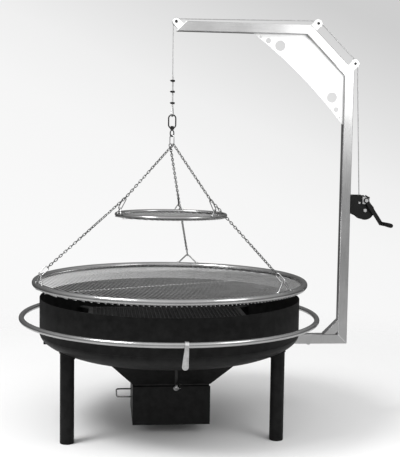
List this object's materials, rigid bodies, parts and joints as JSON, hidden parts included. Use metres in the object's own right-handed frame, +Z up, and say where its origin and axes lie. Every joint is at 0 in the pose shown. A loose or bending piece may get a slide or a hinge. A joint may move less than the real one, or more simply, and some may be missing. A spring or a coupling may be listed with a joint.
{
  "type": "swing grill",
  "caption": "Swing grill: fire bowl on legs with hand rail, ash hopper and box, and a bent square-tube arm whose rope winch lifts round grates on chains.",
  "frame": {"origin": "middle of the outline, at floor height under the feet", "axes": "+X along the arm from the bowl towards the post, +Y away from the front, +Z up"},
  "size_m": [1.9292, 1.5696, 2.1397],
  "materials": {
    "black_paint": "satin black heat-proof paint on sheet and tube",
    "dark_steel": "dark oxidised steel",
    "stainless": "bright ground stainless steel",
    "zinc_steel": "zinc-plated steel, slightly dull",
    "rope_steel": "bare galvanised strands",
    "grate_steel": "bright polished stainless bars",
    "grip_plastic": "matt black"
  },
  "bodies": {
    "base": {"bowl_wall": "black_paint", "bowl_floor": "black_paint", "fire_grate": "dark_steel", "leg_1": "black_paint", "leg_2": "black_paint", "leg_3": "black_paint", "hand_rail": "stainless", "hopper": "black_paint", "box_slide_back": "dark_steel", "box_slide_front": "dark_steel", "boom": "stainless", "arm_diagonal": "stainless", "arm_post": "stainless", "foot_tube": "stainless", "boom_end_cap": "stainless", "arm_socket": "black_paint", "side_socket": "black_paint", "lock_screw": "zinc_steel", "gusset_plate": "stainless", "foot_gusset": "stainless", "tip_bracket": "stainless", "upper_bracket": "stainless", "lower_bracket": "stainless", "rope_run": "rope_steel", "winch_frame": "black_paint", "winch_bolt": "zinc_steel", "drum_shaft": "zinc_steel"},
    "swing": {"rope_fall": "rope_steel"},
    "lift": {"rope_loop": "rope_steel", "thimble": "zinc_steel", "rope_clip_1": "dark_steel", "rope_clip_2": "dark_steel", "rope_clip_3": "dark_steel", "swivel_bow": "dark_steel"},
    "hang": {"swivel_eye": "dark_steel", "master_ring": "zinc_steel", "chain_1": "zinc_steel", "chain_2": "zinc_steel", "chain_3": "zinc_steel", "connector_1": "zinc_steel", "connector_2": "zinc_steel", "connector_3": "zinc_steel", "big_grate_ring": "grate_steel", "big_grate_bars": "grate_steel", "small_grate_ring": "grate_steel", "small_grate_bars": "grate_steel"},
    "drum": {"winch_drum": "dark_steel", "rope_wound": "rope_steel"},
    "crank": {"crank_shaft": "zinc_steel", "crank_arm": "black_paint"},
    "grip": {"crank_grip": "grip_plastic"},
    "latch": {"crank_latch": "dark_steel"},
    "tip_wheel": {"tip_sheave": "zinc_steel"},
    "upper_wheel": {"upper_sheave": "zinc_steel"},
    "lower_wheel": {"lower_sheave": "zinc_steel"},
    "box": {"ash_box": "black_paint", "box_handle": "zinc_steel"},
    "flap": {"ash_flap": "dark_steel", "flap_lever": "stainless"},
    "tool": {"rack_tool": "stainless"}
  },
  "joints": [
    {"name": "rope_swing", "type": "hinge", "parent": "base", "child": "swing", "pos_m": [-0.1821, 0.0023, 2.1079], "axis": [0, 1, 0], "range_deg": [-5, 5]},
    {"name": "lift", "type": "slide", "parent": "swing", "child": "lift", "axis": [0, 0, 1], "range_m": [-0.02, 0.2], "deforming": ["rope_fall"]},
    {"name": "swivel_spin", "type": "hinge", "parent": "lift", "child": "hang", "pos_m": [-0.1821, 0.0023, 1.565], "axis": [0, 0, 1], "continuous": true},
    {"name": "drum_turn", "type": "hinge", "parent": "base", "child": "drum", "pos_m": [0.8449, 0.0023, 1.146], "axis": [0, 1, 0], "range_deg": [-459, 46]},
    {"name": "crank_turn", "type": "hinge", "parent": "base", "child": "crank", "pos_m": [0.8449, -0.0377, 1.2], "axis": [0, 1, 0], "range_deg": [-161, 1605]},
    {"name": "tip_wheel_turn", "type": "hinge", "parent": "base", "child": "tip_wheel", "pos_m": [-0.1681, 0.0023, 2.1079], "axis": [0, 1, 0], "range_deg": [-82, 819]},
    {"name": "upper_wheel_turn", "type": "hinge", "parent": "base", "child": "upper_wheel", "pos_m": [0.5746, 0.0023, 2.1182], "axis": [0, 1, 0], "range_deg": [-82, 819]},
    {"name": "lower_wheel_turn", "type": "hinge", "parent": "base", "child": "lower_wheel", "pos_m": [0.7771, 0.0023, 1.9158], "axis": [0, 1, 0], "range_deg": [-82, 819]},
    {"name": "grip_spin", "type": "hinge", "parent": "crank", "child": "grip", "pos_m": [0.9529, -0.1017, 1.074], "axis": [0, 1, 0], "continuous": true},
    {"name": "latch_turn", "type": "hinge", "parent": "crank", "child": "latch", "pos_m": [0.859, -0.0457, 1.2145], "axis": [0, 1, 0], "range_deg": [0, 60]},
    {"name": "box_slide", "type": "slide", "parent": "base", "child": "box", "axis": [-1, 0, 0], "range_m": [0, 0.3]},
    {"name": "flap_turn", "type": "hinge", "parent": "base", "child": "flap", "pos_m": [-0.1711, -0.3377, 0.391], "axis": [0, 1, 0], "range_deg": [0, 90]},
    {"name": "tool_swing", "type": "hinge", "parent": "base", "child": "tool", "pos_m": [-0.1632, -0.7667, 0.583], "axis": [1, 0, 0], "range_deg": [-6, 6]}
  ],
  "couplings": [
    {"joint": "drum_turn", "follows": "lift", "rad_per_m": -40},
    {"joint": "crank_turn", "follows": "lift", "rad_per_m": 140},
    {"joint": "tip_wheel_turn", "follows": "lift", "rad_per_m": 71.43},
    {"joint": "upper_wheel_turn", "follows": "lift", "rad_per_m": 71.43},
    {"joint": "lower_wheel_turn", "follows": "lift", "rad_per_m": 71.43}
  ]
}
